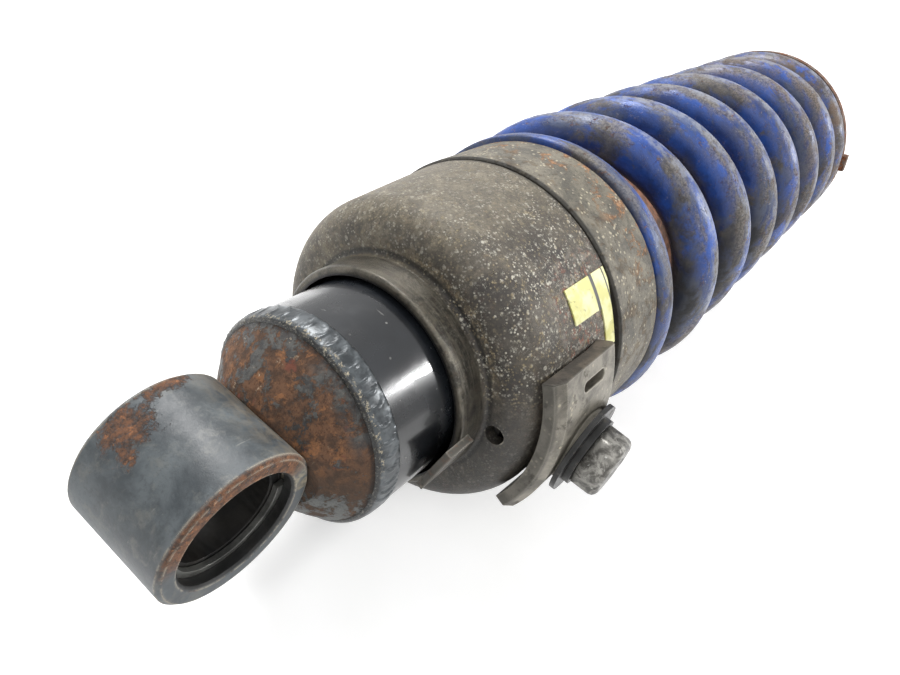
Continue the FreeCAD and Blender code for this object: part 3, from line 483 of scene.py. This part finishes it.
def bracket_steel():
    m = Finish("bracket_steel")
    cloud = m.noise(8.0, 6.0, 0.65, 0.4, seed=1.0)
    colour = m.mix(m.step(cloud, 0.38, 0.62), tint(92, 88, 80), tint(136, 131, 120))
    grime = m.step(m.noise(3.5, 6.0, 0.7, seed=3.0), 0.55, 0.66)
    colour = m.mix(m.both(grime, 0.6), colour, tint(58, 54, 48))
    ear = m.step(m.x, 52.0, 50.0)
    # The ear darkened: partly dirt, partly painted shade.
    colour = m.mix(m.both(ear, 0.6), colour, tint(52, 50, 47))
    stain = m.both(ear, m.step(m.noise(1.8, 7.0, 0.75, seed=8.0), 0.52, 0.6))
    colour = m.mix(m.both(stain, 0.6), colour, tint(122, 84, 62))
    specks = m.both(m.step(m.cells(1.6, seed=4.0), 0.28, 0.16), m.step(m.noise(4.0, seed=5.0), 0.5, 0.58))
    colour = m.mix(m.both(specks, 0.6), colour, tint(182, 174, 152))
    edge = m.rim(0.7)
    colour = m.mix(m.both(edge, 0.55), colour, tint(186, 180, 166))
    end_face = m.step(m.angle(), 30.55, 30.9)
    end_tone = m.mix(m.step(cloud, 0.42, 0.6), tint(40, 35, 30), tint(72, 62, 52))
    colour = m.mix(m.both(end_face, 0.85), colour, end_tone)
    left = m.step(m.x, 56.4, 55.7)
    colour = m.mix(m.both(left, 0.6), colour, tint(56, 54, 50))
    m.raised(m.noise(1.2, 6.0, 0.68, seed=7.0), 0.08)
    return m.done(colour, m.level(grime, 0.5, 0.75), metal=0.35, soft_edge=0.5)


def zinc_steel():
    m = Finish("zinc_steel")
    cloud = m.noise(2.4, 6.0, 0.7, 0.6, seed=1.0)
    colour = m.mix(m.step(cloud, 0.4, 0.62), tint(76, 74, 70), tint(140, 138, 132))
    dark = m.step(m.noise(3.4, 5.0, 0.7, seed=3.0), 0.56, 0.64)
    colour = m.mix(m.both(dark, 0.7), colour, tint(48, 44, 40))
    white = m.step(m.noise(1.3, 5.0, 0.7, seed=5.0), 0.62, 0.7)
    colour = m.mix(m.both(white, 0.7), colour, tint(190, 190, 184))
    m.raised(m.noise(1.4, 5.0, 0.7, seed=7.0), 0.12)
    return m.done(colour, m.level(dark, 0.38, 0.6), metal=0.55, soft_edge=0.4)


def black_steel():
    m = Finish("black_steel")
    dust = m.step(m.noise(2.6, 6.0, 0.7, seed=1.0), 0.54, 0.66)
    colour = m.mix(m.both(dust, 0.5), tint(24, 23, 22), tint(96, 92, 84))
    m.raised(m.noise(1.0, 5.0, 0.6, seed=2.0), 0.03)
    return m.done(colour, m.level(dust, 0.35, 0.7), metal=0.2, soft_edge=0.25)


def label_yellow():
    m = Finish("label_yellow")
    fade = m.noise(5.0, 5.0, 0.6, seed=1.0)
    colour = m.mix(m.step(fade, 0.38, 0.62), tint(204, 200, 122), tint(228, 226, 172))
    rub = m.step(m.noise(1.8, 6.0, 0.75, seed=3.0), 0.6, 0.66)
    colour = m.mix(m.both(rub, 0.75), colour, tint(140, 132, 96))
    line = m.either(m.band(m.x, 81.3, 82.5, 0.12), m.band(m.x, 86.6, 87.1, 0.1))
    colour = m.mix(m.both(line, m.step(m.angle(), 23.0, 24.5)), colour, tint(26, 25, 20))
    m.raised(rub, 0.03)
    return m.done(colour, 0.5)


def rusty_steel():
    m = Finish("rusty_steel")
    patch = m.noise(4.0, 6.0, 0.65, 0.4, seed=2.0)
    fine = m.noise(0.8, 5.0, 0.7, seed=3.0)
    rust = m.mix(m.step(patch, 0.36, 0.62), tint(82, 50, 34), tint(142, 82, 44))
    rust = m.mix(m.both(m.step(fine, 0.62, 0.42), 0.75), rust, tint(48, 34, 28))
    grey = m.step(m.noise(6.0, 6.0, 0.68, 0.4, seed=5.0), 0.5, 0.6)
    colour = m.mix(m.both(grey, 0.75), rust, tint(104, 96, 88))
    edge = m.both(m.rim(0.8), 0.5)
    colour = m.mix(edge, colour, tint(150, 138, 122))
    m.raised(m.noise(1.0, 6.0, 0.7, seed=7.0), 0.12)
    return m.done(colour, m.level(grey, 0.85, 0.6), metal=0.15, soft_edge=0.4)


def steel(name, dark, light, rough, metal, lines=(1.0, 1.0, 1.0)):
    """A machined or drawn metal with faint tool marks."""
    m = Finish(name)
    marks = m.noise(0.9, 4.0, 0.6, stretch=lines, seed=2.0)
    cloud = m.noise(6.0, 5.0, 0.6, seed=1.0)
    colour = m.mix(m.step(cloud, 0.36, 0.64), dark, light)
    m.raised(marks, 0.012)
    return m.done(colour, m.level(m.step(marks, 0.35, 0.65), rough, rough + 0.14), metal=metal, soft_edge=0.2)


def rubber(name, dark, light, rough):
    """Rubber or plastic with a fine grain and a little bloom."""
    m = Finish(name)
    bloom = m.noise(3.0, 6.0, 0.7, seed=1.0)
    colour = m.mix(m.step(bloom, 0.45, 0.7), dark, light)
    m.raised(m.noise(0.35, 3.0, 0.6, seed=2.0), 0.03)
    return m.done(colour, m.level(m.step(bloom, 0.4, 0.7), rough, rough + 0.15))


finishes = {
    "eye_paint": eye_paint(),
    "rusty_cap": rusty_cap(),
    "weld_metal": weld_metal(),
    "tube_black": tube_black(),
    "bell_alloy": bell_alloy(),
    "seat_alloy": seat_alloy(),
    "spring_blue": spring_blue(),
    "bracket_steel": bracket_steel(),
    "zinc_steel": zinc_steel(),
    "black_steel": black_steel(),
    "label_yellow": label_yellow(),
    "rusty_steel": rusty_steel(),
    "bush_steel": steel("bush_steel", tint(18, 18, 18), tint(36, 34, 31), 0.42, 0.5, (1.0, 0.1, 1.0)),
    "spring_steel": steel("spring_steel", tint(84, 84, 82), tint(128, 128, 124), 0.28, 0.7),
    "bright_steel": steel("bright_steel", tint(160, 160, 160), tint(196, 196, 198), 0.22, 1.0, (0.1, 1.0, 1.0)),
    "dark_steel": steel("dark_steel", tint(46, 45, 44), tint(86, 84, 80), 0.4, 0.6),
    "guide_aluminium": steel("guide_aluminium", tint(158, 160, 162), tint(196, 198, 200), 0.32, 1.0),
    "bush_bronze": steel("bush_bronze", tint(146, 112, 66), tint(188, 150, 96), 0.3, 0.9),
    "rod_chrome": steel("rod_chrome", tint(196, 198, 200), tint(222, 224, 226), 0.08, 1.0, (0.1, 1.0, 1.0)),
    "seal_rubber": rubber("seal_rubber", tint(26, 26, 26), tint(50, 50, 49), 0.5),
    "band_plastic": rubber("band_plastic", tint(78, 62, 46), tint(112, 92, 70), 0.45),
    "bump_rubber": rubber("bump_rubber", tint(40, 39, 37), tint(86, 82, 74), 0.7),
    "bush_rubber": rubber("bush_rubber", tint(27, 27, 26), tint(58, 56, 52), 0.6),
}

slot_of = {part["node"]: part["material_slot"] for part in frame["record"]["subparts"]}
for node, thing in frame["nodes"].items():
    if not thing.material_slots:
        thing.data.materials.append(None)
    for holder in thing.material_slots:
        holder.material = finishes[slot_of[node]]


def piece(name, rows, closed_round, body, node):
    """A mesh from rows of points in mm, skinned row to row, that stands in for a CAD node."""
    points = [Vector(p) * MM for row in rows for p in row]
    count = len(rows[0])
    faces = []
    for i in range(len(rows) - 1 + (1 if closed_round else 0)):
        here, there = i * count, ((i + 1) % len(rows)) * count
        for j in range(count):
            k = (j + 1) % count
            faces.append((here + j, here + k, there + k, there + j))
    if not closed_round:
        faces.append(tuple(reversed(range(count))))
        faces.append(tuple(range((len(rows) - 1) * count, len(rows) * count)))
    mesh = bpy.data.meshes.new(name)
    mesh.from_pydata(points, [], faces)
    mesh.validate()
    thing = bpy.data.objects.new(name, mesh)
    bpy.context.scene.collection.objects.link(thing)
    thing.data.materials.append(finishes[slot_of[node]])
    for face in mesh.polygons:
        face.use_smooth = True
    bpy.context.view_layer.objects.active = thing
    bpy.ops.object.select_all(action="DESELECT")
    thing.select_set(True)
    bpy.ops.object.mode_set(mode="EDIT")
    bpy.ops.mesh.select_all(action="SELECT")
    bpy.ops.mesh.normals_make_consistent(inside=False)
    bpy.ops.object.mode_set(mode="OBJECT")
    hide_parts(node)
    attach(thing, body)
    return thing


def around(x, radius, degrees):
    """A point at x, at a radius and an angle about the damper's axis from +Y towards +Z."""
    turn = math.radians(degrees)
    return (x, radius * math.cos(turn), radius * math.sin(turn))


def weld_bead():
    """The weld: overlapping scales round the upper side, run smooth below."""
    rim, end, crown = 23.1, 28.8, 23.5
    scale_height = 0.16
    root = [(25.0, 20.0), (23.1, 21.8)]
    skin = [(0.0, 21.9), (0.03, 22.35), (0.1, 22.8), (0.2, 23.0), (0.32, 23.12), (0.45, 23.2), (0.58, 23.24),
            (0.7, 23.26), (0.82, 23.26), (0.93, 23.24), (0.97, 23.1), (1.0, 22.98)]
    per_turn, steps = 48, 1920
    rows = []
    for i in range(steps):
        degrees = 360.0 * i / steps
        above = (180.0 - degrees + 180.0) % 360.0 - 180.0
        strength = 1.0 if -6.0 < above < 176.0 else 0.1
        wobble = 0.14 * math.sin(math.radians(degrees * 5.0)) + 0.1 * math.sin(math.radians(degrees * 13.0))
        row = [around(x, r, degrees) for x, r in root]
        for t, r in skin:
            bow = 1.0 - (2.0 * t - 1.0) ** 2
            phase = (-degrees / 360.0 * per_turn + bow * 0.8 + wobble) % 1.0
            ridge = math.exp(-((phase - 0.85) / 0.09) ** 2)
            scale = scale_height * (phase + ridge - 0.5) * bow ** 0.35 * strength
            row.append(around(rim + (end - rim) * t, min(r + scale, crown + 0.1), degrees))
        rows.append(row)
    piece("weld_bead_skin", rows, True, "damper", "weld_bead")


# The wire's middle by angle: its place along the axis, and how far it lies off the coil's radius.
COIL_TURNS = ((-90.0, -1.6), (180.0, 4.8), (260.0, 11.5), (525.0, 36.1), (2490.0, 206.4), (2764.0, 212.2))
COIL_GROWTH = ((-90.0, -2.3), (150.0, -1.7), (330.0, 0.0), (2764.0, 0.0))


def between(table, angle):
    """The value at an angle between the rows of a table of (angle, value)."""
    for (first, low), (second, high) in zip(table, table[1:]):
        if angle <= second:
            break
    return low + (high - low) * (angle - first) / (second - first)


def eased(table, angle):
    """The same with the corners at the table's rows taken off."""
    return (between(table, angle - 30.0) + between(table, angle) + between(table, angle + 30.0)) / 3.0


def coil_spring():
    """The coil spring with closed, ground ends."""
    radius, wire, foot, low, high, travel = 36.57, 6.5, 111.1, 111.15, 324.2, 55.0
    start, stop, step, sides = -90.0, 2764.0, 4.0, 40
    rows = []
    count = int((stop - start) / step)
    for i in range(count + 1):
        angle = start + (stop - start) * i / count
        x = foot + eased(COIL_TURNS, angle)
        middle = radius + eased(COIL_GROWTH, angle)
        row = []
        for j in range(sides):
            turn = 2.0 * math.pi * j / sides
            point = around(x + wire * math.sin(turn), middle + wire * math.cos(turn), angle)
            row.append((min(max(point[0], low), high), point[1], point[2]))
        rows.append(row)
    coil = piece("coil_spring_skin", rows, False, "damper", "coil_spring")
    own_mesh(coil)


def hex_radius(degrees):
    """The radius of a hexagon, 14 mm over flats, whose corners are worn round."""
    over_flats, corner, sharpness = 14.0, 7.85, 14.0
    flat = over_flats / 2.0 / math.cos(math.radians((degrees % 60.0) - 30.0))
    return (flat ** -sharpness + corner ** -sharpness) ** (-1.0 / sharpness)


def bracket_bolt():
    """The bracket bolt with a worn hexagonal head."""
    x, inner, start, head = 70.0, 27.5, 46.0, 6.4
    sides, twist = 144, 12.0
    outline = [(inner, 4.2, 0), (inner + 0.8, 5.0, 0), (start, 5.0, 0), (start, 1.0, 1), (start + 0.25, 1.03, 1),
               (start + head - 1.6, 1.02, 1), (start + head - 0.8, 0.97, 1), (start + head - 0.3, 0.9, 1),
               (start + head - 0.05, 0.82, 1), (start + head, 0.7, 1), (start + head - 0.25, 0.45, 1),
               (start + head - 0.45, 0.15, 1)]
    rows = []
    for out, size, is_head in outline:
        row = []
        for j in range(sides):
            degrees = 360.0 * j / sides
            radius = hex_radius(degrees + twist) * size if is_head else size
            wear = 0.12 * math.sin(math.radians(degrees * 2.0 + out * 40.0)) if is_head and size > 0.5 else 0.0
            turn, radius = math.radians(degrees), radius - abs(wear)
            row.append((x + radius * math.cos(turn), -out, radius * math.sin(turn)))
        rows.append(row)
    piece("bracket_bolt_skin", rows, False, "adjuster", "bracket_bolt")


weld_bead()
coil_spring()
bracket_bolt()


def stage_floor():
    """A white floor that keeps the object's shadow and brightens to the camera with distance."""
    side, near_glow, far_glow = 30.0, 0.3, 0.8
    low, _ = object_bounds()
    bpy.ops.mesh.primitive_plane_add(size=side, location=(0.15, 0.0, low.z))
    floor = bpy.context.active_object
    floor.name = "floor"
    m = Finish("floor_white")
    grain = m.noise(30.0, 3.0, 0.5)
    white = m.mix(m.step(grain, 0.3, 0.7), tint(244, 244, 243), tint(250, 250, 250))
    m.done(white, 0.85, specular=0.1)
    nodes, links = m.tree.nodes, m.tree.links
    rays = nodes.new("ShaderNodeLightPath").outputs
    seen = m.either(rays["Is Camera Ray"], rays["Is Glossy Ray"], rays["Is Transmission Ray"])
    distance = m.add("ShaderNodeVectorMath", operation="LENGTH", Vector=m.mm).outputs["Value"]
    strength = m.both(seen, m.level(m.step(distance, 600.0, 2400.0), near_glow, far_glow))
    glow = m.add("ShaderNodeEmission", Color=(1.0, 1.0, 1.0, 1.0), Strength=strength)
    total = m.add("ShaderNodeAddShader")
    links.new(m.shader.outputs[0], total.inputs[0])
    links.new(glow.outputs[0], total.inputs[1])
    links.new(total.outputs[0], nodes["Material Output"].inputs["Surface"])
    floor.data.materials.append(m.material)


def light_world():
    """An even pale surround that is plain white to the camera and in reflections."""
    light_level, seen_level = 0.45, 1.0
    world = bpy.data.worlds.new("surround")
    bpy.context.scene.world = world
    world.use_nodes = True
    tree = world.node_tree
    tree.nodes.clear()
    rays = tree.nodes.new("ShaderNodeLightPath").outputs
    seen = rays["Is Camera Ray"]
    for kind in ("Is Glossy Ray", "Is Transmission Ray"):
        either = tree.nodes.new("ShaderNodeMath")
        either.operation = "MAXIMUM"
        tree.links.new(seen, either.inputs[0])
        tree.links.new(rays[kind], either.inputs[1])
        seen = either.outputs[0]
    strength = tree.nodes.new("ShaderNodeMix")
    strength.data_type = "FLOAT"
    tree.links.new(seen, strength.inputs["Factor"])
    strength.inputs[2].default_value = light_level
    strength.inputs[3].default_value = seen_level
    shade = tree.nodes.new("ShaderNodeBackground")
    shade.inputs["Color"].default_value = (1.0, 1.0, 1.0, 1.0)
    tree.links.new(strength.outputs[0], shade.inputs["Strength"])
    out = tree.nodes.new("ShaderNodeOutputWorld")
    tree.links.new(shade.outputs[0], out.inputs["Surface"])


def lamp(name, at, aim, size, power):
    """A soft square lamp."""
    light = bpy.data.lights.new(name, "AREA")
    light.size, light.energy = size, power
    thing = bpy.data.objects.new(name, light)
    bpy.context.scene.collection.objects.link(thing)
    thing.location = at
    thing.rotation_euler = (Vector(aim) - Vector(at)).to_track_quat("-Z", "Y").to_euler()


stage_floor()
light_world()
lamp("key", (0.35, 0.62, 1.0), (0.12, 0.0, 0.0), 0.45, 17.0)
lamp("side", (0.75, -0.62, 0.46), (0.05, -0.02, 0.0), 0.1, 5.0)
lamp("fill", (-0.6, -0.5, 0.9), (0.1, 0.0, 0.0), 0.9, 5.0)


def photo_camera():
    """The camera at the photograph's place and direction, with its long side across."""
    lens = bpy.data.cameras.new("camera")
    lens.sensor_width, lens.lens = 36.0, 28.72
    lens.clip_start, lens.clip_end = 0.005, 20.0
    thing = bpy.data.objects.new("camera", lens)
    bpy.context.scene.collection.objects.link(thing)
    right = Vector((0.5945, -0.7543, 0.2788)).normalized()
    ahead = Vector((0.7106, 0.3305, -0.6213)).normalized()
    up = right.cross(ahead)
    turn = Matrix((right, up, -ahead)).transposed()
    thing.matrix_world = Matrix.Translation(Vector((-52.99, -60.74, 109.80)) * MM) @ turn.to_4x4()
    bpy.context.scene.camera = thing


photo_camera()
bpy.context.scene.view_settings.view_transform = "Standard"
